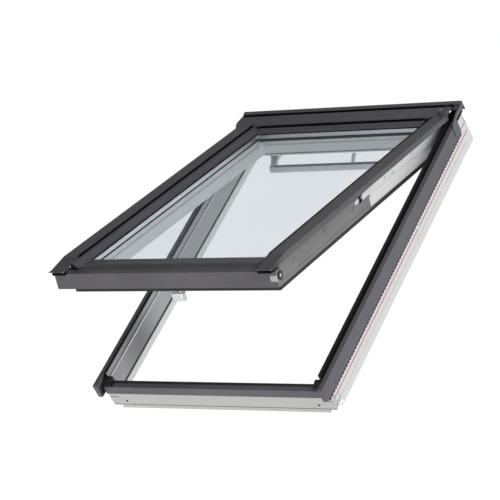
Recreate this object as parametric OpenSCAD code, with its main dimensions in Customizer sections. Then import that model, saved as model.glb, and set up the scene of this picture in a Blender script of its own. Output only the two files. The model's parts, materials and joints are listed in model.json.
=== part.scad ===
// Top-hung roof window (opening skylight) with its own frame and outside covers.
// X runs across the window, Y up the roof slope, Z straight out of the roof.
// The frame stands on its back face (z = 0). The sash is drawn at its rest opening.

/* [Frame] */
// Width over the white frame
frame_w = 780; // [550:1:1140]
// Length of the white frame up the slope
frame_l = 1160; // [780:1:1600]
// Thickness of the frame side members
side_t = 25; // [22:0.5:30]
// Thickness of the bottom member, front to inner face
front_t = 18; // [14:0.5:20]
// Height of the front face's lower edge above the back plane
front_foot = 15.5; // [8:0.5:22]
// Height of the grey liner's lower edge
liner_z = 53; // [48:0.5:70]
// Thickness of the grey liner
liner_t = 3; // [2:0.5:3]

/* [Sash] */
// Angle the sash stands open at rest
open_angle = 20.2; // [0:0.1:44]
// Gap between the frame's inner face and the sash moulding
sash_gap = 15; // [15:0.5:18]
// Visible width of the sash side rails under the glass edge
rail_w = 46.4; // [40:0.2:60]
// Height of the sash rails' lower face in the closed position
rail_z = 52; // [48:0.5:60]
// Thickness of each glass pane
pane_t = 4; // [3:0.5:4]
// Air space between the panes
pane_gap = 12; // [10:0.5:12]
// Depth the glass edge is held behind the rail
glass_grip = 13.9; // [8:0.1:14]

/* [Covers] */
// Thickness of the folded cover sheet
sheet_t = 1.5; // [0.8:0.1:2]
// Reach of the frame covers below the frame front
tail = 30; // [15:0.5:40]
// Gap at the split between the upper and lower side covers
split_gap = 1; // [0.6:0.1:3]

/* [Hinges] */
// Radius of the top hinge pins
pin_r = 5; // [3:0.1:6]
// Running clearance on the radius
pin_clear = 0.05; // [0.02:0.01:0.1]
// Thickness of the lifting arms
arm_t = 7; // [4:0.5:7]
// Radius of the lug at the arm's hinge end
lug_r = 13; // [10:0.5:13]
// Radius of the barrel bolts
bolt_r = 5; // [3:0.1:6]

/* [Fittings] */
// Length of the control bar under the top rail
bar_l = 536; // [300:1:560]
// Height of the control bar
bar_h = 23; // [16:0.5:24]
// Depth of the control bar
bar_d = 15; // [10:0.5:18]
// Length of the bottom handle's grip
grip_l = 46; // [30:0.5:90]
// Radius of the fixing holes in the front face
fix_r = 4; // [2:0.1:6]
// Distance between the two fixing holes in the front face
fix_pitch = 673; // [400:0.5:740]

/* [Hidden] */
$fn = 64;
hw = frame_w / 2;
// axis of the top hinge
hy = frame_l - 54.4;
hz = 120.6;
// centre the sash turns about for cleaning, just above the side covers
py = frame_l / 2 - 19.2;
pz = 149.5;
// inner face of the side members and outer face of the sash rails
in_x = hw - side_t;
sash_x = in_x - sash_gap;
open_x = sash_x - rail_w;
glass_x = open_x + glass_grip;
// the sash closed: lower and upper faces, and the visible glass opening
sash_y0 = 33.8;
sash_y1 = hy - 1.8;
open_y0 = 74.8;
open_y1 = hy - 48.3;
glass_y0 = open_y0 - 14;
glass_y1 = open_y1 + 13.5;
// levels through the closed sash
seat_z = 103;
seal_t = 3;
pane1_z = seat_z + seal_t;
gap_z = pane1_z + pane_t;
pane2_z = gap_z + pane_gap;
glass_z = pane2_z + pane_t;
rail_top = glass_z - 2;
plate_t = 3;
plate_x = sash_x + plate_t;
arm_x0 = plate_x + 2;
arm_x1 = arm_x0 + arm_t;
cover_out = 9.5;
end_out = cover_out + 4;
top_in = frame_l - 47;
cover_end = top_in - 12;
y_mid = (frame_l + 12 - tail) / 2;
white = [0.93, 0.93, 0.92];
dark = [0.28, 0.28, 0.30];
grey = [0.5, 0.5, 0.51];
steel = [0.72, 0.73, 0.72];
black = [0.06, 0.06, 0.06];
clear = [0.8, 0.87, 0.88];

// ---- helpers -------------------------------------------------------------
// the shared frame has its origin under the middle of the whole window
module placed()
{
  translate([0, -y_mid, 0]) children();
}
// turns closed sash geometry to its rest opening about the top hinge
module opened()
{
  translate([0, hy - y_mid, hz]) rotate([-open_angle, 0, 0]) translate([0, -hy, -hz]) children();
}
// a section in (y, z) drawn out along X
module bar_x(pts, x0, x1)
{
  translate([x0, 0, 0]) rotate([90, 0, 90]) linear_extrude(height = x1 - x0) polygon(pts);
}
// a section in (x, z) drawn out along Y
module bar_y(pts, y0, y1)
{
  translate([0, y1, 0]) rotate([90, 0, 0]) linear_extrude(height = y1 - y0) polygon(pts);
}
module box(x0, x1, y0, y1, z0, z1)
{
  translate([x0, y0, z0]) cube([x1 - x0, y1 - y0, z1 - z0]);
}
module rod_x(x0, x1, y, z, r)
{
  translate([x0, y, z]) rotate([0, 90, 0]) cylinder(h = x1 - x0, r = r);
}
module ring_box(xo, y0, y1, xi, yi0, yi1, z0, z1)
{
  difference()
  {
    box(-xo, xo, y0, y1, z0, z1);
    box(-xi, xi, yi0, yi1, z0 - 1, z1 + 1);
  }
}
module left()
{
  mirror([1, 0, 0]) children();
}
// section points measured from the frame's side face
function side(pts) = [for (p = pts) [hw + p[0], p[1]]];
// section points measured from the top hinge line
function top(pts) = [for (p = pts) [hy + p[0], p[1]]];

// ---- frame ---------------------------------------------------------------
module side_member()
{
  bar_y([[in_x, 24], [hw - 4, 24], [hw - 4, 0], [hw, 0], [hw, 26], [hw - 1.2, 27],
    [hw - 1.2, 31.5], [hw, 32.5], [hw, 78], [hw - 5.5, 78], [hw - 5.5, 118],
    [in_x + 6.3, 118], [in_x + 6.3, 113], [in_x + liner_t, 113], [in_x + liner_t, liner_z],
    [in_x + 5, liner_z], [in_x + 5, liner_z - 9], [in_x + 1, liner_z - 9],
    [in_x, liner_z - 10]], 46, top_in);
  // the corner stands clear of the back plane in front of the skirt
  bar_y([[in_x, 24], [hw - 4, 24], [hw - 4, front_foot], [hw, front_foot], [hw, 26],
    [hw - 1.2, 27], [hw - 1.2, 31.5], [hw, 32.5], [hw, 78], [hw - 5.5, 78],
    [hw - 5.5, 118], [in_x + 6.3, 118], [in_x + 6.3, 113], [in_x + liner_t, 113],
    [in_x + liner_t, liner_z], [in_x + 5, liner_z], [in_x + 5, liner_z - 9],
    [in_x + 1, liner_z - 9], [in_x, liner_z - 10]], front_t, 46);
}
module frame_side_right()
{
  color(white) placed() side_member();
}
module frame_side_left()
{
  color(white) placed() left() side_member();
}
module frame_bottom()
{
  color(white) placed() difference()
  {
    bar_x([[0, front_foot + 1.2], [1.2, front_foot], [front_t, front_foot],
      [front_t, 97.4], [0, 97.4]], -hw, hw);
    for (s = [-1, 1])
    {
      translate([s * fix_pitch / 2, -1, 30]) rotate([-90, 0, 0]) cylinder(h = 13, r = fix_r);
      translate([s * (hw - 30.5), -1, 34]) rotate([-90, 0, 0]) cylinder(h = 7, r = 1.5);
    }
    box(hw - 5.5, hw + 1, -1, front_t + 1, 78, 100);
    box(-hw - 1, -hw + 5.5, -1, front_t + 1, 78, 100);
  }
}
module front_strip()
{
  color(white) placed() box(-hw + 27.5, hw - 27.5, 0.8, 6, 0, front_foot);
}
module frame_top()
{
  color(white) placed() difference()
  {
    union()
    {
      bar_x([[top_in, 24], [frame_l - 2, 24], [frame_l - 2, 56], [frame_l - 5, 56],
        [frame_l - 5, 83], [frame_l - 8, 83], [frame_l - 8, 116], [top_in, 116]], -hw, hw);
      box(-hw, hw, frame_l - 10, frame_l - 2, 0, 24);
      box(hw - 4, hw, top_in, frame_l - 10, 0, 24);
      box(-hw, -hw + 4, top_in, frame_l - 10, 0, 24);
      // fills the rebate past the ends of the side covers
      box(hw - 5.5, hw, cover_end, top_in, 78, 116);
      box(-hw, -hw + 5.5, cover_end, top_in, 78, 116);
    }
    for (s = [-1, 1])
    {
      // pocket the arm's lug turns in
      translate([s > 0 ? in_x - 14 : -in_x, top_in - 1, 102]) cube([14, 11, 20]);
    }
    // room for the hinge plate's corner at the widest opening
    box(in_x - 14, in_x - 9, top_in + 9, frame_l - 28, 111, 117);
  }
}
module liner()
{
  bar_y([[in_x, liner_z], [in_x + liner_t, liner_z], [in_x + liner_t, 113],
    [in_x + 6.3, 113], [in_x + 6.3, 131], [in_x + 3.3, 131], [in_x + 3.3, 114.5],
    [in_x, 113]], front_t, top_in);
}
module liner_right()
{
  color(grey) placed() liner();
}
module liner_left()
{
  color(grey) placed() left() liner();
}
module liner_seals()
{
  color(black) placed()
  {
    box(in_x + 1.5, in_x + 5, front_t, top_in, liner_z - 9, liner_z);
    box(-in_x - 5, -in_x - 1.5, front_t, top_in, liner_z - 9, liner_z);
  }
}
module gasket_run()
{
  bar_y([[in_x + 6.3, 118], [hw - 5.5, 118], [hw - 5.5, 120], [hw - 13, 120],
    [hw - 13, 132.3], [hw - 14, 133.3], [in_x + 3.3, 133.3], [in_x + 3.3, 131],
    [in_x + 6.3, 131]], front_t, top_in);
}
module frame_gasket()
{
  color(black) placed()
  {
    gasket_run();
    left() gasket_run();
    bar_x([[7.5, 97.4], [front_t, 97.4], [front_t, 99.5], [12, 102.5], [9, 101.5],
      [7.5, 98.6]], -hw + 36.5, hw - 36.5);
  }
}
module side_cover()
{
  t = sheet_t * 0.8;
  bar_y([[hw - 5.5, 78], [hw + cover_out, 78], [hw + cover_out, 124.5],
    [hw + cover_out - 1, 125.5], [hw - 5.5, 125.5], [hw - 5.5, 112],
    [hw - 5.5 + t, 112], [hw - 5.5 + t, 125.5 - t], [hw + cover_out - t, 125.5 - t],
    [hw + cover_out - t, 78 + t], [hw - 5.5, 78 + t]], -tail, cover_end);
  // the lower end is folded shut
  box(hw - 5.5, hw + cover_out - 0.5, -tail, -tail + t, 78.5, 125);
}
module frame_cover_right()
{
  color(dark) placed() side_cover();
}
module frame_cover_left()
{
  color(dark) placed() left() side_cover();
}
module frame_cover_bottom()
{
  t = sheet_t * 0.8;
  color(dark) placed() bar_x([[-9, 70], [-9, 97.6], [-8, 98.6], [7.5, 98.6],
    [7.5, 98.6 - t], [-9 + t, 98.6 - t], [-9 + t, 70 + t], [0, 70 + t], [0, 70]],
    -hw + 5.5, hw - 5.5);
}
module plug()
{
  bar_x([[-8.8, 98.6], [7.5, 98.6], [7.5, 97.4], [front_t, 97.4], [front_t, 118],
    [6, 116.5], [-6, 106], [-8.8, 102]], hw - 36.4, hw - 5.5);
}
module corner_plug_right()
{
  color(black) placed() plug();
}
module corner_plug_left()
{
  color(black) placed() left() plug();
}
// section of the folded hood over the top of the window, in four runs
function hood_front() = [[frame_l - 61.5, 141], [frame_l - 59, 145.2],
  [frame_l - 52, 147.3], [frame_l - 39, 148.2], [frame_l - 18, 148.2]];
function hood_ridge() = [[frame_l - 3, 135.5], [frame_l - 3, 146.2], [frame_l - 1, 148.2],
  [frame_l + 8, 148.2], [frame_l + 11, 147], [frame_l + 12, 144], [frame_l + 12, 112],
  [frame_l + 12 - sheet_t, 112], [frame_l + 12 - sheet_t, 146.7],
  [frame_l - 3 + sheet_t, 146.7], [frame_l - 3 + sheet_t, 134]];
function hood_under() = [[frame_l - 18 - sheet_t, 134], [frame_l - 18 - sheet_t, 146.7],
  [frame_l - 39, 146.7], [frame_l - 51.5, 145.8], [frame_l - 58, 144],
  [frame_l - 60.2, 140.4]];
module hood(x0, x1)
{
  bar_x(concat(hood_front(), [[frame_l - 18, 135.5]], hood_ridge(), hood_under()), x0, x1);
}
// only the rear of the hood, from y0 back
module hood_rear(x0, x1, y0)
{
  bar_x(concat([[y0, 135.5]], hood_ridge(), [[y0, 134]]), x0, x1);
}
module top_casing()
{
  color(dark) placed() difference()
  {
    union()
    {
      hood(-hw - end_out, hw - 38);
      // slot the hinge plate swings in
      hood_rear(hw - 38, hw - 32.5, frame_l - 8);
      hood(hw - 32.5, hw - 14);
      hood_rear(hw - 14, hw + cover_out, frame_l - 18);
    }
    translate([0, 0, 100]) linear_extrude(height = 60)
      polygon([[-hw - end_out - 1, frame_l + 13], [-hw - 8, frame_l + 13],
        [-hw - 8, frame_l - 23], [-hw - end_out, frame_l - 42],
        [-hw - end_out - 1, frame_l - 42]]);
  }
}
module casing_end_left()
{
  color(dark) placed() bar_x([[frame_l - 98, 92], [frame_l - 92, 85.5],
    [frame_l - 63, 85.5], [frame_l - 59, 130], [frame_l - 24, 133], [frame_l - 24, 139],
    [frame_l - 84, 134], [frame_l - 93, 126]], -hw - cover_out - 1.5, -hw - cover_out);
}
module casing_end_right()
{
  color(dark) placed() bar_x([[frame_l - 98, 92], [frame_l - 92, 85.5],
    [frame_l - 63, 85.5], [frame_l - 59, 133.5], [frame_l - 25, 131],
    [frame_l - 15, 128.5], [frame_l - 14, 135], [frame_l + 4, 133.5],
    [frame_l + 5, 136], [frame_l + 4, 147], [frame_l - 50, 146], [frame_l - 84, 138],
    [frame_l - 93, 130]], hw + cover_out, hw + end_out);
}
module casing_packer()
{
  color(white) placed() box(-hw + 40, hw - 40, top_in + 10, frame_l - 20, 116, 146.7);
}
module bracket()
{
  difference()
  {
    union()
    {
      bar_x([[hy - 27, 84], [hy + 7.4, 84], [hy + 7.4, 116], [hy + 30, 116],
        [hy + 30, 136], [hy + 2, 136], [hy - 27, 108]], in_x - 2, in_x);
      box(in_x, in_x + 3.3, hy - 14, hy + 7.4, 115, 130);
    }
    rod_x(in_x - 3, in_x + 4, hy, hz, pin_r);
  }
}
module hinge_bracket_right()
{
  color(dark) placed() bracket();
}
module hinge_bracket_left()
{
  color(dark) placed() left() bracket();
}
module pin()
{
  rod_x(arm_x0 - 2.1, in_x + 3.3, hy, hz, pin_r);
}
module hinge_pin_right()
{
  color(steel) placed() pin();
}
module hinge_pin_left()
{
  color(steel) placed() left() pin();
}
module strikers()
{
  color(white) placed() for (x = [-262, -235, 235, 262])
  {
    box(x - 7, x + 7, front_t, front_t + 2.2, 84, 97);
  }
}
module cover_screws()
{
  color(steel) placed() for (s = [-1, 1])
  {
    for (y = [40, 300, 620, 940])
    {
      rod_x(s > 0 ? hw + cover_out : -hw - cover_out - 1.2,
        s > 0 ? hw + cover_out + 1.2 : -hw - cover_out, y, 86, 3.2);
    }
  }
}

// ---- arms and the upper side covers they carry ---------------------------
module arm()
{
  difference()
  {
    union()
    {
      bar_x([[hy, hz + 11.4], [hy - 19.8, 126.6], [hy - 27.8, 126.6],
        [hy - 27.8, 146.67], [py + 0.5, 146.67], [py + 0.5, 119], [py - 20, 119],
        [py - 20, 101], [py + 5, 102], [hy - 265.8, 102], [hy - 180, 94],
        [hy - 101.8, 86], [hy - 39.8, 94], [hy, 107.6]], arm_x0, arm_x1);
      rod_x(arm_x0, arm_x1, hy, hz, lug_r);
      rod_x(arm_x0, arm_x1, py - 20, 110, 9);
    }
    rod_x(arm_x0 - 1, arm_x1 + 1, hy, hz, pin_r + pin_clear);
    rod_x(arm_x0 - 1, arm_x1 + 1, py + 119, 113, 2.5);
    rod_x(arm_x0 - 1, arm_x1 + 1, py + 300, 113, 2.5);
    box(arm_x1 - 2, arm_x1 + 1, py + 158, py + 176, 105, 109);
  }
}
module arm_right()
{
  color(steel) opened() arm();
}
module arm_left()
{
  color(steel) opened() left() arm();
}
// upright plate on the right arm, round the hinge pin
module hinge_plate()
{
  color(dark) opened() difference()
  {
    bar_x(top([[-14.8, 162.2], [24, 157.6], [17, 118.2], [4, 112], [-6, 112],
      [-12, 118.5]]), arm_x0 - 2.2, arm_x0);
    rod_x(arm_x0 - 3, arm_x0 + 1, hy, hz, pin_r + pin_clear);
  }
}
// rolled inner edge, raised flange and outer lip of the side covers
function cover_section(z0) = concat([[open_x, z0], [open_x + 2.4, 129.5],
  [open_x + 8.4, 133.3], [open_x + 14.4, 139.5], [open_x + 20, 142.4],
  [open_x + 24.6, 143.4], [open_x + 24.6, 147.4], [hw - 10, 149], [hw - 9.3, 148.4],
  [hw - 5.3, 134.6], [hw - 5.3 - sheet_t, 134.2], [hw - 10.2 - sheet_t * 0.5, 147.4],
  [open_x + 24.6 + sheet_t, 147.4 - sheet_t], [open_x + 24.6 + sheet_t, 142]],
  roll_inner(z0));
function roll_inner(z0) = [[open_x + 20, 140.8], [open_x + 15.4, 137.9],
  [open_x + 9.4, 131.8], [open_x + 3.6, 128], [open_x + 1.8, z0]];
module upper_cover()
{
  bar_y(cover_section(126.4), py + split_gap / 2, hy - 23.8);
}
module upper_cover_right()
{
  color(dark) opened() upper_cover();
}
module upper_cover_left()
{
  color(dark) opened() left() upper_cover();
}
module pad()
{
  rod_x(plate_x + 0.05, arm_x0, py - 20, 110, 8);
}
module pivot_pad_right()
{
  color(black) opened() pad();
}
module pivot_pad_left()
{
  color(black) opened() left() pad();
}

// ---- sash ----------------------------------------------------------------
module rail_side()
{
  bar_y([[open_x - 3.6, rail_z], [sash_x, rail_z], [sash_x, rail_top],
    [glass_x + 1.5, rail_top], [glass_x + 1.5, seat_z], [open_x, seat_z],
    [open_x, 89], [open_x - 3.6, 87]], open_y0, open_y1);
}
module sash_side_right()
{
  color(white) opened() rail_side();
}
module sash_side_left()
{
  color(white) opened() left() rail_side();
}
module sash_bottom()
{
  color(white) opened() difference()
  {
    union()
    {
      bar_x([[sash_y0, rail_z], [open_y0, rail_z], [open_y0, rail_top], [38.8, rail_top],
        [38.8, 120], [sash_y0, 120]], -sash_x, sash_x);
      bar_x([[open_y0, rail_z], [open_y0 + 3.6, rail_z], [open_y0 + 3.6, 87],
        [open_y0, 89]], -open_x + 3.6, open_x - 3.6);
    }
    box(-glass_x - 1.5, glass_x + 1.5, glass_y0 - 1.5, open_y0 + 5, seat_z, rail_top + 1);
    for (s = [-1, 1])
    {
      translate([s > 0 ? sash_x - 25 : -sash_x - 1, 44.8, 85]) rotate([0, 90, 0])
        cylinder(h = 26, r = bolt_r + 0.1);
    }
  }
}
module sash_top()
{
  color(white) opened() difference()
  {
    union()
    {
      box(-sash_x, sash_x, open_y1, sash_y1, rail_z, rail_top);
      bar_x([[open_y1, rail_z], [open_y1 - 3.6, rail_z], [open_y1 - 3.6, 87],
        [open_y1, 89]], -open_x + 3.6, open_x - 3.6);
    }
    box(-glass_x - 1.5, glass_x + 1.5, open_y1 - 5, glass_y1 + 1.5, seat_z, rail_top + 1);
  }
}
module glazing_seal()
{
  color(black) opened() ring_box(glass_x + 1, glass_y0 - 1, glass_y1 + 1, open_x, open_y0,
    open_y1, seat_z, pane1_z);
}
module inner_pane()
{
  color(clear) opened() box(-glass_x, glass_x, glass_y0, glass_y1, pane1_z, gap_z);
}
module outer_pane()
{
  color(clear) opened() box(-glass_x, glass_x, glass_y0, glass_y1, pane2_z, glass_z);
}
module spacer()
{
  color(steel) opened() ring_box(glass_x - 3.5, glass_y0 + 3.5, glass_y1 - 3.5,
    open_x - 1.6, open_y0 + 1.6, open_y1 - 1.6, gap_z, pane2_z);
}
module lower_cover()
{
  bar_y(cover_section(glass_z), 52.8, py - split_gap / 2);
  bar_y(concat([[open_x, glass_z + 2.2], [open_x + 2.4, 129.5], [open_x + 8.4, 133.3],
    [open_x + 14.4, 139.5], [open_x + 20, 142.4], [open_x + 24.6, 143.4],
    [open_x + 24.6, 142]], roll_inner(glass_z + 2.2)), 11.8, 52.8);
}
// the flange and its lip slope down to a point below the sash
module tail_fold()
{
  x0 = open_x + 24.6;
  y1 = 52.8;
  y0 = -tail - 0.2;
  polyhedron(points = [
    [x0, y1, 147.4], [hw - 10, y1, 149], [hw - 5.3, y1, 134.6], [hw - 6.8, y1, 134.2],
    [hw - 11.2, y1, 147.4], [x0, y1, 145.9],
    [x0, y0, 133.6], [hw - 10, y0, 134.9], [hw - 5.3, y0, 134.3], [hw - 6.8, y0, 132.9],
    [hw - 11.2, y0, 133.3], [x0, y0, 132.1]],
    faces = concat([[0, 1, 4, 5], [1, 2, 3, 4], [6, 11, 10, 7], [7, 10, 9, 8]],
      [for (i = [0:5]) [i, 6 + i, (i + 1) % 6]],
      [for (i = [0:5]) [6 + i, 6 + (i + 1) % 6, (i + 1) % 6]]));
}
module cover_tail_right()
{
  color(dark) opened() tail_fold();
}
module cover_tail_left()
{
  color(dark) opened() left() tail_fold();
}
module lower_cover_right()
{
  color(dark) opened() lower_cover();
}
module lower_cover_left()
{
  color(dark) opened() left() lower_cover();
}
module sash_bottom_cover()
{
  w = hw - 10;
  color(dark) opened() difference()
  {
    union()
    {
      bar_x([[open_y0, glass_z], [open_y0, glass_z + 1.3], [38.8, glass_z + 2],
        [34.8, 121.5], [-12, 121.5], [-12, 120], [35.8, 120], [39.8, glass_z]],
        -open_x + 0.6, open_x - 0.6);
      bar_x([[35, 120], [35, 121.5], [-11, 121.5], [-12, 120.5], [-12, 73], [-10.5, 73],
        [-10.5, 120]], -w, w);
    }
    box(w - 23, w + 1, -13, -10.4, 89, 109);
    // the flange narrows over the frame's inner edge and gasket
    box(w - 13, w + 1, front_t - 1, 36, 119, 122);
    box(-w - 1, -w + 13, front_t - 1, 36, 119, 122);
  }
}
module corner_clip()
{
  w = hw - 10;
  color(steel) opened()
  {
    box(w - 24, w, -10.5, -9.9, 87, 110);
    box(w - 20, w - 12, -11.6, -10.5, 91, 107);
  }
}
module sash_top_cover()
{
  color(dark) opened() bar_x(top([[-48.3, 126], [-45.9, 129.5], [-39.9, 133.3],
    [-33.9, 139.5], [-28.3, 142.4], [-23.8, 143.4], [-23.8, 141.9], [-26.8, 141.2],
    [-26.8, 124], [-28.3, 124], [-28.3, 140.8], [-32.9, 137.9], [-38.9, 131.8],
    [-44.7, 128], [-46.5, 126]]), -open_x + 0.6, open_x - 0.6);
}
module sash_top_cap()
{
  color(black) opened() box(-sash_x, sash_x, hy - 26.8, sash_y1, rail_top, rail_top + 2);
}
module plate()
{
  difference()
  {
    bar_x([[30.8, rail_z + 4], [py + 30, rail_z + 4], [py + 30, 118], [py - 2, 118],
      [py - 2, 146.52], [52.8, 146.52], [35.5, 143.9], [35.5, 119.9], [25.8, 119.9],
      [25.8, rail_z + 12]], sash_x, plate_x);
    rod_x(sash_x - 1, plate_x + 1, 44.8, 85, bolt_r + 0.1);
    // black-lined notch at the upper end and the shallow pressed marks
    box(sash_x - 1, plate_x + 1, py + 24, py + 31, 58, 87);
    box(plate_x - 1, plate_x + 1, 40, py + 31, 66, 67.5);
  }
}
module side_plate_right()
{
  color(grey) opened() plate();
}
module side_plate_left()
{
  color(grey) opened() left() plate();
}
module bush()
{
  difference()
  {
    rod_x(plate_x, plate_x + 2.5, 44.8, 85, 9);
    rod_x(plate_x - 1, plate_x + 4, 44.8, 85, bolt_r + 0.1);
  }
}
module bolt_bush_right()
{
  color(black) opened() bush();
}
module bolt_bush_left()
{
  color(black) opened() left() bush();
}
module barrel_bolt_right()
{
  color(steel) opened() rod_x(sash_x - 18, plate_x + 2, 44.8, 85, bolt_r);
}
module barrel_bolt_left()
{
  color(steel) opened() left() rod_x(sash_x - 18, plate_x + 2, 44.8, 85, bolt_r);
}
module sash_gasket()
{
  color(black) opened()
  {
    ring_box(plate_x, 30.8, sash_y1, sash_x - 12, 46, hy - 17, rail_z - 7, rail_z);
    difference()
    {
      box(-plate_x, plate_x, 30.8, sash_y1, rail_z, rail_z + 4);
      box(-sash_x, sash_x, sash_y0, sash_y1 + 1, rail_z - 1, rail_z + 5);
    }
  }
}
module lock_case()
{
  color(steel) opened() box(-60, 60, 46, 73, rail_z - 7, rail_z);
}
module ear(x0)
{
  bar_x(top([[-20, rail_z], [-20, rail_z - 5], [-42, rail_z - 11], [-50, rail_z - 15],
    [-57, rail_z - 10], [-56, rail_z - 1], [-50, rail_z]]), x0, x0 + 3);
}
module bar_brackets()
{
  color(white) opened()
  {
    for (x = [-bar_l / 2 - 2, bar_l / 2 - 28])
    {
      ear(x);
      ear(x + 27);
      box(x, x + 30, hy - 44, hy - 20, rail_z - 3, rail_z);
      rod_x(x, x + 30, hy - 50, rail_z - 8, 3);
    }
  }
}
module control_bar()
{
  yb = hy - 72.3;
  zb = rail_z - 51;
  color(steel) opened() difference()
  {
    union()
    {
      bar_x([[yb - bar_d / 2, zb + 4], [yb - bar_d / 2 + 4, zb], [yb + bar_d / 2 - 4, zb],
        [yb + bar_d / 2, zb + 4], [yb + bar_d / 2, zb + bar_h - 3],
        [yb + bar_d / 2 - 3, zb + bar_h], [yb - bar_d / 2 + 3, zb + bar_h],
        [yb - bar_d / 2, zb + bar_h - 3]], -bar_l / 2, bar_l / 2);
      for (x = [-bar_l / 2 + 2, bar_l / 2 - 24])
      {
        bar_x(top([[-44, rail_z - 8], [-50, rail_z - 2], [-58, rail_z - 8],
          [-76, rail_z - 30], [-66, rail_z - 34]]), x, x + 22);
      }
    }
    rod_x(-bar_l, bar_l, hy - 50, rail_z - 8, 3.06);
  }
}
module handle_base()
{
  color(steel) opened() difference()
  {
    union()
    {
      box(-34, 30, 50, 71.6, rail_z - 16, rail_z - 7);
      translate([-2, 60.8, rail_z - 22]) cylinder(h = 6, r = 10);
    }
    translate([-2, 60.8, rail_z - 23]) cylinder(h = 14, r = 5.06);
  }
}
module handle_grip()
{
  color(steel) opened()
  {
    translate([-2, 60.8, rail_z - 25]) cylinder(h = 15, r = 5);
    translate([-2, 60.8, rail_z - 25]) cylinder(h = 2.7, r = 9);
    box(-2 - grip_l + 9, 7, 52, 69.6, rail_z - 49, rail_z - 25);
  }
}

frame_bottom();
frame_top();
frame_side_left();
frame_side_right();
front_strip();
liner_left();
liner_right();
liner_seals();
frame_gasket();
frame_cover_left();
frame_cover_right();
frame_cover_bottom();
corner_plug_left();
corner_plug_right();
top_casing();
casing_end_left();
casing_end_right();
casing_packer();
hinge_bracket_left();
hinge_bracket_right();
hinge_pin_left();
hinge_pin_right();
strikers();
cover_screws();
arm_left();
arm_right();
hinge_plate();
upper_cover_left();
upper_cover_right();
pivot_pad_left();
pivot_pad_right();
sash_bottom();
sash_top();
sash_side_left();
sash_side_right();
inner_pane();
spacer();
outer_pane();
glazing_seal();
lower_cover_left();
lower_cover_right();
cover_tail_left();
cover_tail_right();
sash_bottom_cover();
sash_top_cover();
corner_clip();
side_plate_left();
side_plate_right();
bolt_bush_left();
bolt_bush_right();
sash_gasket();
sash_top_cap();
lock_case();
bar_brackets();
control_bar();
handle_base();
handle_grip();
barrel_bolt_left();
barrel_bolt_right();
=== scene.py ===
"""Looks of the roof window: finishes, small fittings, studio light and the camera.

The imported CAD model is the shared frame, in metres: X across the window, Y up the slope, Z out
of the roof. The hinge line and the opening angle are read from it. Small details are placed in
millimetres by lengths that repeat those of the CAD source.
"""

import json
import math

import bmesh
import bpy
from mathutils import Matrix, Vector


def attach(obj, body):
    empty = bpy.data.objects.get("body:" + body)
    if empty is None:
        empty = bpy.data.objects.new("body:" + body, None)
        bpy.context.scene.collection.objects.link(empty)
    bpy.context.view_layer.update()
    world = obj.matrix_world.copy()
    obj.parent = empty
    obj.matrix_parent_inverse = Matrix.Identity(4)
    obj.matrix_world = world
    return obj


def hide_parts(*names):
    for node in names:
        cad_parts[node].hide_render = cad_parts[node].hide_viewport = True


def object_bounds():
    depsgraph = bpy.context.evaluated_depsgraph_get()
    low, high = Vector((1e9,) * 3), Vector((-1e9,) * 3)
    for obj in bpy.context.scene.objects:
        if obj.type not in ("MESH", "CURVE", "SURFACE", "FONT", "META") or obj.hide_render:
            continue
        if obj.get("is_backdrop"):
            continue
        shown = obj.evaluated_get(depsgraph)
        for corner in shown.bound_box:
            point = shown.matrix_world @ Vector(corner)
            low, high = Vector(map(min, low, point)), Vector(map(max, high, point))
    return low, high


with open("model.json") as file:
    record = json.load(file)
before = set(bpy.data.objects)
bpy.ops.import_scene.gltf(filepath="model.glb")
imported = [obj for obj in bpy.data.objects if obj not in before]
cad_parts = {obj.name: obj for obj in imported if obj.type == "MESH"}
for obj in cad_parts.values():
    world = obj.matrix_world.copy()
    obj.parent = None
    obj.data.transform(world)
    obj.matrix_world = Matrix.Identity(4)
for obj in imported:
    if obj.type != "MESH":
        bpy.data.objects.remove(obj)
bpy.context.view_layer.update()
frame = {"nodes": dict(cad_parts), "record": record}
NODES = frame["nodes"]
JOINTS = {j["name"]: j for j in frame["record"]["behaviour"]["joints"]}
MM = 0.001


# ---- camera --------------------------------------------------------------
def set_camera():
    """A long lens from the lower right, a little rolled, as the view asks."""
    look = Vector((-0.54568905, 0.60529633, -0.57951688)).normalized()
    up = Vector((0.01397431, 0.69803461, 0.71592765))
    right = look.cross(up).normalized()
    up = right.cross(look)
    data = bpy.data.cameras.new("camera")
    data.sensor_width = 36.0
    data.lens = 180.1
    data.clip_end = 200.0
    cam = bpy.data.objects.new("camera", data)
    turn = Matrix((right, up, -look)).transposed().to_4x4()
    cam.matrix_world = Matrix.Translation((4.054304, -4.637998, 4.539002)) @ turn
    bpy.context.collection.objects.link(cam)
    bpy.context.scene.camera = cam


# ---- materials -----------------------------------------------------------
def new_material(name, color, rough, metallic=0.0, **extra):
    """A principled material whose fixed numbers sit on the shader's own sockets."""
    mat = bpy.data.materials.new(name)
    mat.use_nodes = True
    shader = mat.node_tree.nodes["Principled BSDF"]
    shader.inputs["Base Color"].default_value = (*color, 1.0)
    shader.inputs["Roughness"].default_value = rough
    shader.inputs["Metallic"].default_value = metallic
    for socket, value in extra.items():
        shader.inputs[socket.replace("_", " ")].default_value = value
    return mat


def add(mat, kind, **values):
    node = mat.node_tree.nodes.new(kind)
    for name, value in values.items():
        setattr(node, name, value)
    return node


def link(mat, a, out, b, into):
    mat.node_tree.links.new(a.outputs[out], b.inputs[into])


def object_noise(mat, scale, detail=3.0, stretch=(1.0, 1.0, 1.0)):
    """Noise in the piece's own coordinates, so it stays put when the piece moves."""
    coords = add(mat, "ShaderNodeTexCoord")
    mapping = add(mat, "ShaderNodeMapping")
    mapping.inputs["Scale"].default_value = stretch
    noise = add(mat, "ShaderNodeTexNoise")
    noise.inputs["Scale"].default_value = scale
    noise.inputs["Detail"].default_value = detail
    link(mat, coords, "Object", mapping, "Vector")
    link(mat, mapping, "Vector", noise, "Vector")
    return noise


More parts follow.
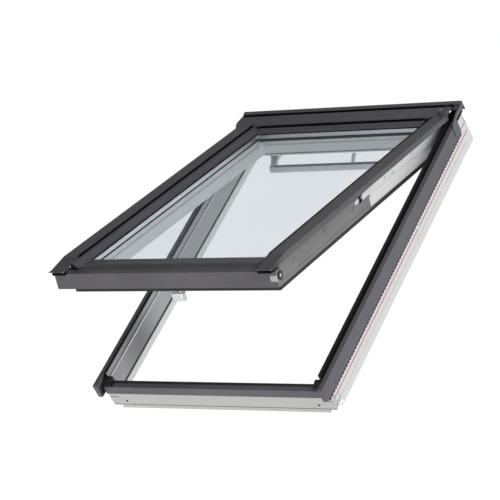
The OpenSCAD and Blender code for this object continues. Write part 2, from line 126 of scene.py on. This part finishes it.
def vary_color(mat, noise, dark, light, low=0.35, high=0.65):
    """Colour that drifts between two close tones."""
    ramp = add(mat, "ShaderNodeValToRGB")
    ramp.color_ramp.elements[0].position = low
    ramp.color_ramp.elements[0].color = (*dark, 1.0)
    ramp.color_ramp.elements[1].position = high
    ramp.color_ramp.elements[1].color = (*light, 1.0)
    link(mat, noise, "Fac", ramp, "Fac")
    link(mat, ramp, "Color", mat.node_tree.nodes["Principled BSDF"], "Base Color")


def vary_rough(mat, noise, low, high):
    span = add(mat, "ShaderNodeMapRange")
    span.inputs["To Min"].default_value = low
    span.inputs["To Max"].default_value = high
    link(mat, noise, "Fac", span, "Value")
    link(mat, span, "Result", mat.node_tree.nodes["Principled BSDF"], "Roughness")


def bump(mat, noise, strength, distance):
    node = add(mat, "ShaderNodeBump")
    node.inputs["Strength"].default_value = strength
    node.inputs["Distance"].default_value = distance
    link(mat, noise, "Fac", node, "Height")
    link(mat, node, "Normal", mat.node_tree.nodes["Principled BSDF"], "Normal")


def lacquered_metal(name, tone, rough=0.42, shine=0.18):
    """Coil-coated sheet: fine orange-peel and a faint drift of tone."""
    r, g, b = tone
    mat = new_material(name, tone, rough, Specular_IOR_Level=shine)
    fine = object_noise(mat, 900.0, 2.0)
    broad = object_noise(mat, 6.0, 2.0)
    vary_color(mat, broad, (r * 0.93, g * 0.93, b * 0.93), (r * 1.07, g * 1.07, b * 1.07))
    vary_rough(mat, broad, rough - 0.04, rough + 0.05)
    bump(mat, fine, 0.06, 0.0003)
    return mat


def moulded_white(name, tone):
    """Moulded polyurethane under a smooth white lacquer."""
    mat = new_material(name, (tone, tone, tone * 0.988), 0.32, IOR=1.48)
    broad = object_noise(mat, 5.0, 2.0)
    low, high = tone * 0.98, tone * 1.015
    vary_color(mat, broad, (low, low, low * 0.988), (high, high, high * 0.988))
    vary_rough(mat, broad, 0.28, 0.36)
    bump(mat, object_noise(mat, 400.0, 2.0), 0.03, 0.0004)
    return mat


def black_rubber():
    mat = new_material("rubber", (0.012, 0.012, 0.013), 0.55, IOR=1.45)
    grain = object_noise(mat, 500.0, 3.0)
    vary_color(mat, grain, (0.008, 0.008, 0.009), (0.02, 0.02, 0.021))
    bump(mat, grain, 0.2, 0.0004)
    return mat


def plated_steel(name, tone, rough, along=(1.0, 1.0, 1.0)):
    """Zinc-plated or satin metal with faint rolling lines."""
    mat = new_material(name, tone, rough, metallic=1.0)
    grain = object_noise(mat, 220.0, 4.0, along)
    vary_rough(mat, grain, rough - 0.06, rough + 0.08)
    vary_color(mat, object_noise(mat, 9.0, 2.0), [c * 0.93 for c in tone],
               [min(1.0, c * 1.05) for c in tone])
    bump(mat, grain, 0.05, 0.0002)
    return mat


def clear_glass():
    """Float glass: mostly see-through, greenish grey, with a soft reflection."""
    mat = bpy.data.materials.new("glass")
    mat.use_nodes = True
    tree = mat.node_tree
    tree.nodes.clear()
    out = add(mat, "ShaderNodeOutputMaterial")
    clear = add(mat, "ShaderNodeBsdfTransparent")
    clear.inputs["Color"].default_value = (0.978, 0.989, 0.998, 1.0)
    gloss = add(mat, "ShaderNodeBsdfGlossy")
    gloss.inputs["Roughness"].default_value = 0.02
    gloss.inputs["Color"].default_value = (0.9, 0.95, 0.97, 1.0)
    edge = add(mat, "ShaderNodeLayerWeight")
    edge.inputs["Blend"].default_value = 0.04
    mix = add(mat, "ShaderNodeMixShader")
    link(mat, edge, "Facing", mix, "Fac")
    tree.links.new(clear.outputs[0], mix.inputs[1])
    tree.links.new(gloss.outputs[0], mix.inputs[2])
    tree.links.new(mix.outputs[0], out.inputs["Surface"])
    return mat


MATERIALS = {
    "white_polyurethane": moulded_white("white_polyurethane", 0.82),
    "cover_metal": lacquered_metal("cover_metal", (0.165, 0.16, 0.178), 0.42, 0.06),
    "liner_metal": lacquered_metal("liner_metal", (0.34, 0.34, 0.345), 0.36),
    "rubber": black_rubber(),
    "bearing_plastic": new_material("bearing_plastic", (0.02, 0.02, 0.021), 0.4),
    "steel": plated_steel("steel", (0.62, 0.62, 0.61), 0.34),
    "arm_metal": plated_steel("arm_metal", (0.66, 0.69, 0.69), 0.42, (1.0, 6.0, 1.0)),
    "plate_metal": lacquered_metal("plate_metal", (0.23, 0.23, 0.232), 0.34),
    "glass": clear_glass(),
    "spacer_metal": plated_steel("spacer_metal", (0.72, 0.75, 0.77), 0.3),
    "bracket_white": moulded_white("white_polyurethane", 0.82),
    "bar_metal": plated_steel("bar_metal", (0.62, 0.63, 0.64), 0.36, (0.2, 4.0, 4.0)),
    "handle_metal": plated_steel("handle_metal", (0.66, 0.67, 0.68), 0.32),
}


def liner_with_painted_sheen(name):
    """Drawn aluminium: draw lines along its length, and a painted sheen darker in the front
    third.
    """
    mat = new_material(name, (0.36, 0.36, 0.365), 0.36)
    coords = add(mat, "ShaderNodeTexCoord")
    axes = add(mat, "ShaderNodeSeparateXYZ")
    # distance in metres from the darkest place of the painted sheen, 0.37 in front of the origin
    middle = add(mat, "ShaderNodeMath", operation="ADD")
    middle.inputs[1].default_value = 0.37
    away = add(mat, "ShaderNodeMath", operation="ABSOLUTE")
    span = add(mat, "ShaderNodeMapRange", interpolation_type="SMOOTHSTEP")
    span.inputs["From Max"].default_value = 0.16
    ramp = add(mat, "ShaderNodeValToRGB")
    ramp.color_ramp.elements[0].color = (0.21, 0.21, 0.215, 1.0)
    ramp.color_ramp.elements[1].color = (0.43, 0.43, 0.435, 1.0)
    link(mat, coords, "Object", axes, "Vector")
    link(mat, axes, "Y", middle, 0)
    link(mat, middle, 0, away, 0)
    link(mat, away, 0, span, "Value")
    link(mat, span, "Result", ramp, "Fac")
    link(mat, ramp, "Color", mat.node_tree.nodes["Principled BSDF"], "Base Color")
    vary_rough(mat, object_noise(mat, 1.0, 2.0, (1.0, 2.0, 420.0)), 0.28, 0.42)
    return mat


# The front face and the corner clip are a darker copy of the white, which paints the shade on
# the front; the screws are coated like the covers they hold; and the rolled hood has a smoother
# coat in a lighter tone, which paints a highlight on the roll.
NODE_FINISH = {
    "frame_bottom": moulded_white("white_painted_shade", 0.6),
    "cover_screws": MATERIALS["cover_metal"],
    "top_casing": lacquered_metal("hood_metal_painted_highlight", (0.21, 0.204, 0.222), 0.32, 0.3),
}
NODE_FINISH["front_strip"] = NODE_FINISH["frame_bottom"]
NODE_FINISH["corner_clip"] = NODE_FINISH["frame_bottom"]
NODE_FINISH["liner_left"] = liner_with_painted_sheen("liner_painted_sheen")
NODE_FINISH["liner_right"] = NODE_FINISH["liner_left"]


def finish_nodes():
    for part in frame["record"]["subparts"]:
        node = NODES[part["node"]]
        mat = NODE_FINISH.get(part["node"], MATERIALS[part["material_slot"]])
        node.data.materials.clear()
        node.data.materials.append(mat)


# ---- building pieces -----------------------------------------------------
# Sizes below are in millimetres, with Y from the front of the white frame. "closed" points are
# given on the closed window and turned to the rest opening about the top hinge line.
# distance from the frame's front to the origin of the shared frame
Y_MID = 571.0
HINGE_Y = JOINTS["top_hinge"]["pos_m"][1] / MM + Y_MID
HINGE_Z = JOINTS["top_hinge"]["pos_m"][2] / MM
# the window is shut at the hinge's low limit and drawn at zero
OPEN = math.radians(-JOINTS["top_hinge"]["range_deg"][0])
# outer face of the white frame, edge of the visible glass, outer face of the side plate
HALF_W = 390.0
OPEN_X = 303.6
PLATE_X = 353.0
# lower face of the closed sash rails, and the split between the lower and upper side covers
RAIL_Z = 52.0
SPLIT_Y = 560.8


def place(point, closed):
    """A point in millimetres as a place in the shared frame, opened with the sash if closed."""
    x, y, z = point
    if closed:
        dy, dz = y - HINGE_Y, z - HINGE_Z
        y = HINGE_Y + dy * math.cos(OPEN) + dz * math.sin(OPEN)
        z = HINGE_Z - dy * math.sin(OPEN) + dz * math.cos(OPEN)
    return Vector((x, y - Y_MID, z)) * MM


def piece(bm, name, mat, body, smooth=False):
    """Turns the built mesh into an object that rides on a body."""
    bmesh.ops.recalc_face_normals(bm, faces=bm.faces)
    mesh = bpy.data.meshes.new(name)
    bm.to_mesh(mesh)
    bm.free()
    if smooth:
        for face in mesh.polygons:
            face.use_smooth = True
    mesh.materials.append(mat)
    obj = bpy.data.objects.new(name, mesh)
    bpy.context.collection.objects.link(obj)
    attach(obj, body)
    return obj


def sweep(bm, rows):
    """Closes the skin between rows of points with equal counts, and caps both ends."""
    rings = [[bm.verts.new(p) for p in row] for row in rows]
    for a, b in zip(rings, rings[1:]):
        for i in range(len(a)):
            j = (i + 1) % len(a)
            bm.faces.new((a[i], a[j], b[j], b[i]))
    bm.faces.new(rings[0][::-1])
    bm.faces.new(rings[-1])


def along(name, section, axis, start, end, mat, body, closed=False, chamfer=0.2, segments=1,
          smooth=False):
    """A bar of constant section along x (points y, z), y (points x, z) or z (points x, y)."""
    bm = bmesh.new()
    rows = []
    for a in (start, end):
        order = {"x": lambda u, v: (a, u, v), "y": lambda u, v: (u, a, v),
                 "z": lambda u, v: (u, v, a)}[axis]
        rows.append([place(order(u, v), closed) for u, v in section])
    sweep(bm, rows)
    if chamfer:
        bmesh.ops.bevel(bm, geom=bm.edges[:], offset=chamfer * MM, segments=segments,
                        profile=0.5, affect="EDGES", clamp_overlap=True)
    return piece(bm, name, mat, body, smooth)


def rect(u0, v0, u1, v1):
    return [(u0, v0), (u1, v0), (u1, v1), (u0, v1)]


def disc(name, centre, radius, axis, height, mat, body, closed=False, dome=0.35, count=24):
    """A low turned head: a short wall and a domed face, standing up from centre along axis."""
    bm = bmesh.new()
    rows = []
    for share, up in ((1.0, 0.0), (1.0, 1.0 - dome), (0.86, 1.0 - dome * 0.35), (0.5, 1.0),
                      (0.12, 1.0)):
        row = []
        for i in range(count):
            t = 2 * math.pi * i / count
            u, v, w = radius * share * math.cos(t), radius * share * math.sin(t), height * up
            spot = {"x": (w, u, v), "y": (u, w, v), "z": (u, v, w)}[axis]
            row.append(place([c + s for c, s in zip(centre, spot)], closed))
        rows.append(row)
    sweep(bm, rows)
    return piece(bm, name, mat, body, smooth=True)


def ring(name, centre, outer, inner, axis, height, mat, body, closed=False, count=32,
         start=0.0, sweep_deg=360.0):
    """A flat washer, or an arc of one, standing up from centre along axis."""
    bm = bmesh.new()
    full = sweep_deg >= 360.0
    steps = count if full else count + 1
    loops = []
    for i in range(steps):
        t = math.radians(start + sweep_deg * i / count)
        loop = []
        for radius, up in ((outer, 0.0), (outer, height), (inner, height), (inner, 0.0)):
            u, v = radius * math.cos(t), radius * math.sin(t)
            spot = {"x": (up, u, v), "y": (u, up, v), "z": (u, v, up)}[axis]
            loop.append(bm.verts.new(place([c + s for c, s in zip(centre, spot)], closed)))
        loops.append(loop)
    pairs = list(zip(loops, loops[1:] + ([loops[0]] if full else [])))
    for a, b in pairs:
        for k in range(4):
            bm.faces.new((a[k], a[(k + 1) % 4], b[(k + 1) % 4], b[k]))
    if not full:
        bm.faces.new(loops[0][::-1])
        bm.faces.new(loops[-1])
    return piece(bm, name, mat, body)


def stadium(half_len, radius, cx, cy, count=12):
    points = []
    for side, base in ((1, -90.0), (-1, 90.0)):
        for i in range(count + 1):
            t = math.radians(base + 180.0 * i / count)
            points.append((cx + side * (half_len - radius) + radius * math.cos(t),
                           cy + radius * math.sin(t)))
    return points


def zigzag(name, x, y0, y1, z_base, depth, pitch, mat, body, thick):
    """A thin strip in a plane across x whose lower edge is cut into shallow teeth."""
    count = int((y1 - y0) / pitch)
    bm = bmesh.new()
    upper, lower = [], []
    for i in range(count * 2 + 1):
        y = y0 + (y1 - y0) * i / (count * 2)
        tooth = depth if i % 2 else depth * 0.25
        upper.append((y, z_base))
        lower.append((y, z_base - tooth))
    for i in range(count * 2):
        corner = (upper[i], upper[i + 1], lower[i + 1], lower[i])
        a = [bm.verts.new(place((x, *q), False)) for q in corner]
        b = [bm.verts.new(place((x + thick, *q), False)) for q in corner]
        bm.faces.new(b)
        bm.faces.new((a[3], a[2], b[2], b[3]))
        bm.faces.new((a[0], b[0], b[1], a[1]))
    bmesh.ops.remove_doubles(bm, verts=bm.verts, dist=1e-6)
    return piece(bm, name, mat, body)


RED = new_material("red_line", (0.56, 0.05, 0.06), 0.45)
BLUE = new_material("blue_line", (0.07, 0.07, 0.42), 0.45)
DEEP = new_material("deep_black", (0.003, 0.003, 0.004), 0.8, Specular_IOR_Level=0.1)
SHADE = new_material("joint_and_shade_grey", (0.16, 0.16, 0.155), 0.7)
LEDGE_HIGHLIGHT = plated_steel("painted_ledge_highlight", (0.62, 0.61, 0.68), 0.4)
BLACK = MATERIALS["rubber"]
STEEL = MATERIALS["steel"]
COVER = MATERIALS["cover_metal"]


# ---- details on the frame ------------------------------------------------
def frame_details():
    for s, tag in ((1, "right"), (-1, "left")):
        out = s * (HALF_W + 0.35)
        inner = s * (HALF_W - 0.3)
        low, high = sorted((inner, out))
        along("red_line_" + tag, rect(low, 46.8, high, 49.8), "y", 13, 700, RED, "frame",
              chamfer=0.1)
        along("red_line_upper_" + tag, rect(low, 46.8, high, 49.8), "y", 712, 1146, RED,
              "frame", chamfer=0.1)
        along("blue_line_" + tag, rect(low, 74.6, high, 77.4), "y", 1118, 1150, BLUE, "frame",
              chamfer=0.1)
        edge = sorted((s * (HALF_W + 8.2), s * (HALF_W + 9.7)))
        along("cover_hem_" + tag, rect(edge[0], 76.8, edge[1], 77.9), "y", -26, 1098, COVER,
              "frame", chamfer=0.2)
        # painted shadow: a black toothed strip for the shade in the gap under the cover's hem
        zigzag("hem_gap_shadow_" + tag, s * (HALF_W + 8.7), -20, 1098, 76.6, 6.6, 14.0, DEEP,
               "frame", s * 0.5)
        # painted highlight: a pale metal strip for the light caught by the ledge above the liner
        ledge = sorted((s * 364.5, s * 365.2))
        along("liner_ledge_highlight_" + tag, rect(ledge[0], 109.5, ledge[1], 113.4), "y", 19, 1110,
              LEDGE_HIGHLIGHT, "frame", chamfer=0.1)
        # moulded outline of the corner piece
        for k, spot in enumerate(([(38.2, 27), (39.4, 27), (39.4, 45), (38.2, 45)],
                                  [(3, 25.6), (39, 26.4), (39, 27.4), (3, 26.6)],
                                  [(28, 4), (35, 7), (31, 10), (28, 9)])):
            along(f"corner_mark_{tag}_{k}", spot, "x", min(inner, out), max(inner, out), SHADE,
                  "frame", chamfer=0.05)
        ends = sorted((s * 356, s * 389.8))
        along("corner_joint_" + tag, rect(-0.35, 46.4, 0.3, 48.4), "x", ends[0], ends[1],
              SHADE, "frame", chamfer=0.1)
        # painted shadow: dark grey strips for the shade under the front ends of the sides
        ends = sorted((s * 363.5, s * 389.5))
        along("front_heel_shadow_" + tag, rect(-0.35, 13.4, 4.0, 15.6), "x", ends[0], ends[1],
              SHADE, "frame", chamfer=0.3)
        # painted shade: a black disc for the dark inside the fixing hole
        disc("fixing_hole_shade_" + tag, (s * 336.5, 4.5, 30), 3.9, "y", -3.6, DEEP, "frame")
        disc("pilot_plug_" + tag, (s * 359.5, 3.5, 34), 1.4, "y", -2.8, SHADE, "frame",
             count=12)
        disc("front_dot_" + tag, (s * 315, 0.1, 19), 1.5, "y", -0.5, DEEP, "frame", count=12)
        # dark strip along the stepped rear edge of the side
        steps = [(1152.4, 116), (1152.4, 83), (1155.4, 83), (1155.4, 62), (1153.6, 62),
                 (1153.6, 81.2), (1150.6, 81.2), (1150.6, 116)]
        along("rear_edge_" + tag, steps, "x", min(inner, out), max(inner, out), DEEP, "frame",
              chamfer=0.05)
    along("front_seam", rect(-0.3, 14.5, 1.0, 15.5), "x", -362, 362, SHADE, "frame",
          chamfer=0.1)
    # black foam under the hood, in front of the packer and beside the arms
    along("hood_foam", [(1103, 117), (1106.5, 117), (1107.5, 139), (1104.5, 139)], "x", -349,
          349, DEEP, "frame", chamfer=0.4)
    along("hood_foam_right", rect(1101.5, 116.2, 1156, 133.4), "x", 369, 398.5, DEEP, "frame",
          chamfer=1.0)
    along("hood_foam_left", rect(1101.5, 116.2, 1156, 133.4), "x", -398.5, -369, DEEP, "frame",
          chamfer=1.0)
    for s, tag in ((1, "right"), (-1, "left")):
        ends = sorted((s * 350.1, s * 351.6))
        along("packer_end_" + tag, rect(1119, 116.3, 1141.5, 146.4), "x", ends[0], ends[1],
              DEEP, "frame", chamfer=0.3)
    # shadowed gutter between the hood and its ridge
    for tag, x0, x1 in (("", -398, 346), ("_end", 359, 375.5)):
        along("hood_gutter" + tag, [(1142.4, 137), (1156.6, 137), (1156.6, 144.5),
                                    (1142.4, 145.8)], "x", x0, x1, DEEP, "frame", chamfer=0.2)
    disc("hood_screw_0", (366.8, 1118, 147.9), 3.4, "z", 2.0, STEEL, "frame", count=16)
    disc("cover_end_screw", (391, 1085, 125.4), 3.0, "z", 1.8, STEEL, "frame", count=16)


# ---- details on the sash and its covers ----------------------------------
def sash_details():
    for s, tag in ((1, "right"), (-1, "left")):
        # painted shadow: thin black strips under the inner edge of the raised flange, below and
        # above the split
        for part, y0, y1, body in (("lower", 53.2, SPLIT_Y - 0.8, "sash"),
                                   ("upper", SPLIT_Y + 0.8, HINGE_Y - 24.2, "arms")):
            lip = [(s * x, z) for x, z in ((OPEN_X + 23.4, 143.3), (OPEN_X + 24.5, 143.6),
                                           (OPEN_X + 24.5, 147.5), (OPEN_X + 29.2, 147.8),
                                           (OPEN_X + 28.8, 148.4), (OPEN_X + 23.4, 148.1))]
            along(f"flange_edge_shadow_{part}_{tag}", lip, "y", y0, y1, DEEP, body, closed=True,
                  chamfer=0.1)
        # painted shadow: a black block in the gap between the folded tail and the bottom cover
        gap_shade = [(s * x, z) for x, z in ((331, 122), (376, 122), (376, 130), (331, 130.5))]
        along("tail_gap_shadow_" + tag, gap_shade, "y", -26.5, -13.5, DEEP, "sash", closed=True,
              chamfer=0.6)
        for y in (668.8, 507.8):
            body = "arms" if y > SPLIT_Y else "sash"
            disc(f"cover_dimple_{tag}_{int(y)}", (s * 372, y, 148.55), 2.6, "z", 0.5, BLACK,
                 body, closed=True, count=16)
        # pressed marks and rim of the bolt hole on the side plate
        for y, z in ((127.9, 99), (309.3, 104), (480.4, 96.5)):
            ring(f"plate_mark_{tag}_{int(y)}", (s * PLATE_X, y, z), 6.2, 4.2, "x", s * 0.35,
                 DEEP, "sash", closed=True, start=-110.0, sweep_deg=150.0)
        ring("bolt_rim_" + tag, (s * PLATE_X, 44.8, 85), 13.4, 9.4, "x", s * 1.6, BLACK, "sash",
             closed=True)
        fillet = [(s * (OPEN_X - 3.7), 1053.6), (s * (OPEN_X - 3.7), 1044.0),
                  (s * (OPEN_X - 6.0), 1046.8), (s * (OPEN_X - 8.4), 1049.6),
                  (s * (OPEN_X - 12.4), 1051.8), (s * (OPEN_X - 17.0), 1053.6)]
        along("rail_corner_" + tag, fillet, "z", 54, 99, MATERIALS["white_polyurethane"],
              "sash", closed=True, chamfer=0.4)
    for s, tag in ((1, "right"), (-1, "left")):
        # painted shadow: black strips along the glass for the shaded side of the cover's inner
        # roll
        lines = sorted((s * (OPEN_X - 2.6), s * (OPEN_X + 0.4)))
        along("glass_edge_shadow_" + tag, rect(lines[0], 126.1, lines[1], 127.2), "y", 78, 1054, BLACK,
              "sash", closed=True, chamfer=0.2)
    # painted shadow: the top cover's rear rim is drawn black for the shadow of the hood, and the
    # fold ahead of it dark grey for its shade
    along("top_cover_rim", [(HINGE_Y - 33.9, 139.6), (HINGE_Y - 28.3, 142.5),
                            (HINGE_Y - 23.9, 143.4), (HINGE_Y - 23.9, 143.9),
                            (HINGE_Y - 28.5, 143.0), (HINGE_Y - 34.1, 140.1)],
          "x", -OPEN_X + 1, OPEN_X - 1, DEEP, "sash", closed=True)
    along("top_cover_fold_shade", [(HINGE_Y - 45.6, 129.7), (HINGE_Y - 40.2, 133.1),
                             (HINGE_Y - 40.5, 133.6), (HINGE_Y - 45.9, 130.2)],
          "x", -OPEN_X + 1, OPEN_X - 1, SHADE, "sash", closed=True)
    along("top_seal_line", rect(1053.9, 100.4, 1057.0, 105.8), "x", -OPEN_X + 4, OPEN_X - 4,
          DEEP, "sash", closed=True, chamfer=0.3)
    along("top_rail_groove", rect(1053.0, 56.6, 1053.8, 59.4), "x", -OPEN_X + 4, OPEN_X - 4,
          SHADE, "sash", closed=True, chamfer=0.1)
    # painted highlight: small steel heads for the glints on the folded corners of the tails
    disc("tail_corner_highlight_right", (378.5, -29.4, 133.0), 2.6, "z", 1.6, STEEL, "sash", closed=True,
         count=16)
    disc("tail_corner_highlight_left", (-331.5, -28.6, 133.2), 2.6, "z", 1.6, STEEL, "sash", closed=True,
         count=16)
    # painted highlight: a steel strip for the light on the upper edge of the hinge plate
    along("plate_edge_highlight", [(HINGE_Y - 15.2, 162.0), (HINGE_Y + 24.2, 157.4),
                         (HINGE_Y + 24.2, 159.2), (HINGE_Y - 15.2, 163.8)],
          "x", 352.6, 355.2, STEEL, "arms", closed=True, chamfer=0.2)
    # rounded pocket in the side plate just below the arm
    for s, tag in ((1, "right"), (-1, "left")):
        dome = []
        bm = bmesh.new()
        for share, up in ((1.0, 0.0), (0.96, 0.35), (0.8, 0.7), (0.45, 0.94), (0.1, 1.0)):
            dome.append([place((s * (PLATE_X + 4.2 * up),
                                512 + 15.5 * share * math.cos(2 * math.pi * i / 28),
                                106 + 10.0 * share * math.sin(2 * math.pi * i / 28)), True)
                         for i in range(28)])
        sweep(bm, dome)
        piece(bm, "arm_stop_" + tag, STEEL, "sash", smooth=True)
        shadow = [(525, 95.5), (537, 92.5), (541, 98), (538, 117), (529, 114), (524.5, 103)]
        ends = sorted((s * 352.9, s * 353.9))
        along("arm_stop_shadow_" + tag, shadow, "x", ends[0], ends[1], DEEP, "sash",
              closed=True, chamfer=0.3)


# ---- control bar and handle ----------------------------------------------
def fittings():
    yb, zb = HINGE_Y - 72.3, RAIL_Z - 51.0
    along("bar_top_seam", rect(yb - 5.0, zb + 22.6, yb + 5.0, zb + 23.5), "x", -264, 264,
          SHADE, "control_bar", closed=True, chamfer=0.2)
    arm = [(1060.6, 44), (1059, 48), (1055.6, 49.6), (1051, 48), (1045, 43), (1038, 34),
           (1033.5, 24.2), (1038.5, 24.2), (1042, 31), (1048, 38.5), (1054, 42)]
    along("bar_arm", arm, "x", 34, 45, MATERIALS["bracket_white"], "control_bar", closed=True,
          chamfer=1.2, segments=2, smooth=True)
    base = along("handle_base_cast", stadium(32, 10.6, -2, 60.8), "z", RAIL_Z - 16,
                 RAIL_Z - 7.05, MATERIALS["handle_metal"], "sash", closed=True, chamfer=2.4,
                 segments=3, smooth=True)
    boss = disc("handle_boss", (-2, 60.8, RAIL_Z - 15.8), 10.0, "z", -6.0,
                MATERIALS["handle_metal"], "sash", closed=True, dome=0.2)
    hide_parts("handle_base")
    grip = along("handle_grip_cast", stadium(23.0, 8.8, -16, 60.8), "z", RAIL_Z - 49,
                 RAIL_Z - 25.4, MATERIALS["handle_metal"], "handle", closed=True, chamfer=4.5,
                 segments=4, smooth=True)
    neck = disc("handle_neck", (-2, 60.8, RAIL_Z - 27.0), 9.0, "z", 4.6,
                MATERIALS["handle_metal"], "handle", closed=True, dome=0.3)
    ring("handle_band", (-2, 60.8, RAIL_Z - 24.6), 9.6, 8.6, "z", 1.6, SHADE, "handle",
         closed=True)
    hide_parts("handle_grip")
    return boss, neck


# ---- studio --------------------------------------------------------------
def floor():
    """A floor that glows, so that it stays evenly white."""
    size = 30.0
    mesh = bpy.data.meshes.new("floor")
    corners = [(-size, -size, 0), (size, -size, 0), (size, size, 0), (-size, size, 0)]
    mesh.from_pydata(corners, [], [(0, 1, 2, 3)])
    plane = bpy.data.objects.new("floor", mesh)
    plane.location.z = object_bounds()[0][2] - 0.0005
    bpy.context.collection.objects.link(plane)
    mat = new_material("floor", (0.1, 0.1, 0.1), 1.0, Specular_IOR_Level=0.0)
    shader = mat.node_tree.nodes["Principled BSDF"]
    shader.inputs["Emission Color"].default_value = (1.0, 1.0, 1.0, 1.0)
    shader.inputs["Emission Strength"].default_value = 1.0
    mesh.materials.append(mat)
    plane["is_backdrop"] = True


def area_light(name, spot, target, size, power):
    """A white rectangular lamp at a spot, facing its target."""
    data = bpy.data.lights.new(name, "AREA")
    data.shape = "RECTANGLE"
    data.size, data.size_y = size
    data.energy = power
    lamp = bpy.data.objects.new(name, data)
    lamp.location = spot
    aim = Vector(target) - Vector(spot)
    lamp.rotation_euler = aim.to_track_quat("-Z", "Y").to_euler()
    bpy.context.collection.objects.link(lamp)


def studio():
    world = bpy.data.worlds.new("studio")
    bpy.context.scene.world = world
    world.use_nodes = True
    tree = world.node_tree
    back = tree.nodes["Background"]
    back.inputs["Color"].default_value = (1.0, 1.0, 1.0, 1.0)
    coords = tree.nodes.new("ShaderNodeTexCoord")
    axes = tree.nodes.new("ShaderNodeSeparateXYZ")
    tree.links.new(coords.outputs["Generated"], axes.inputs["Vector"])
    # a glow low over the floor, brighter in front of the window than behind it
    height = tree.nodes.new("ShaderNodeMapRange")
    side = tree.nodes.new("ShaderNodeMapRange")
    for node, values in ((height, (0.0, 0.2, 1.0, 0.0)), (side, (-0.6, 0.4, 0.55, 0.06))):
        for socket, value in zip(("From Min", "From Max", "To Min", "To Max"), values):
            node.inputs[socket].default_value = value
    tree.links.new(axes.outputs["Z"], height.inputs["Value"])
    tree.links.new(axes.outputs["Y"], side.inputs["Value"])
    glow = tree.nodes.new("ShaderNodeMath")
    glow.operation = "MULTIPLY_ADD"
    glow.inputs[2].default_value = 0.09
    tree.links.new(height.outputs["Result"], glow.inputs[0])
    tree.links.new(side.outputs["Result"], glow.inputs[1])
    tree.links.new(glow.outputs[0], back.inputs["Strength"])
    area_light("key", (3.2, -0.4, 3.0), (0.0, 0.0, 0.2), (2.4, 2.4), 66.0)
    area_light("fill", (-0.7, -3.3, 1.2), (0.0, 0.1, 0.3), (1.8, 1.2), 23.0)
    view = bpy.context.scene.view_settings
    view.view_transform = "Standard"


set_camera()
finish_nodes()
frame_details()
sash_details()
fittings()
floor()
studio()
bpy.context.view_layer.update()
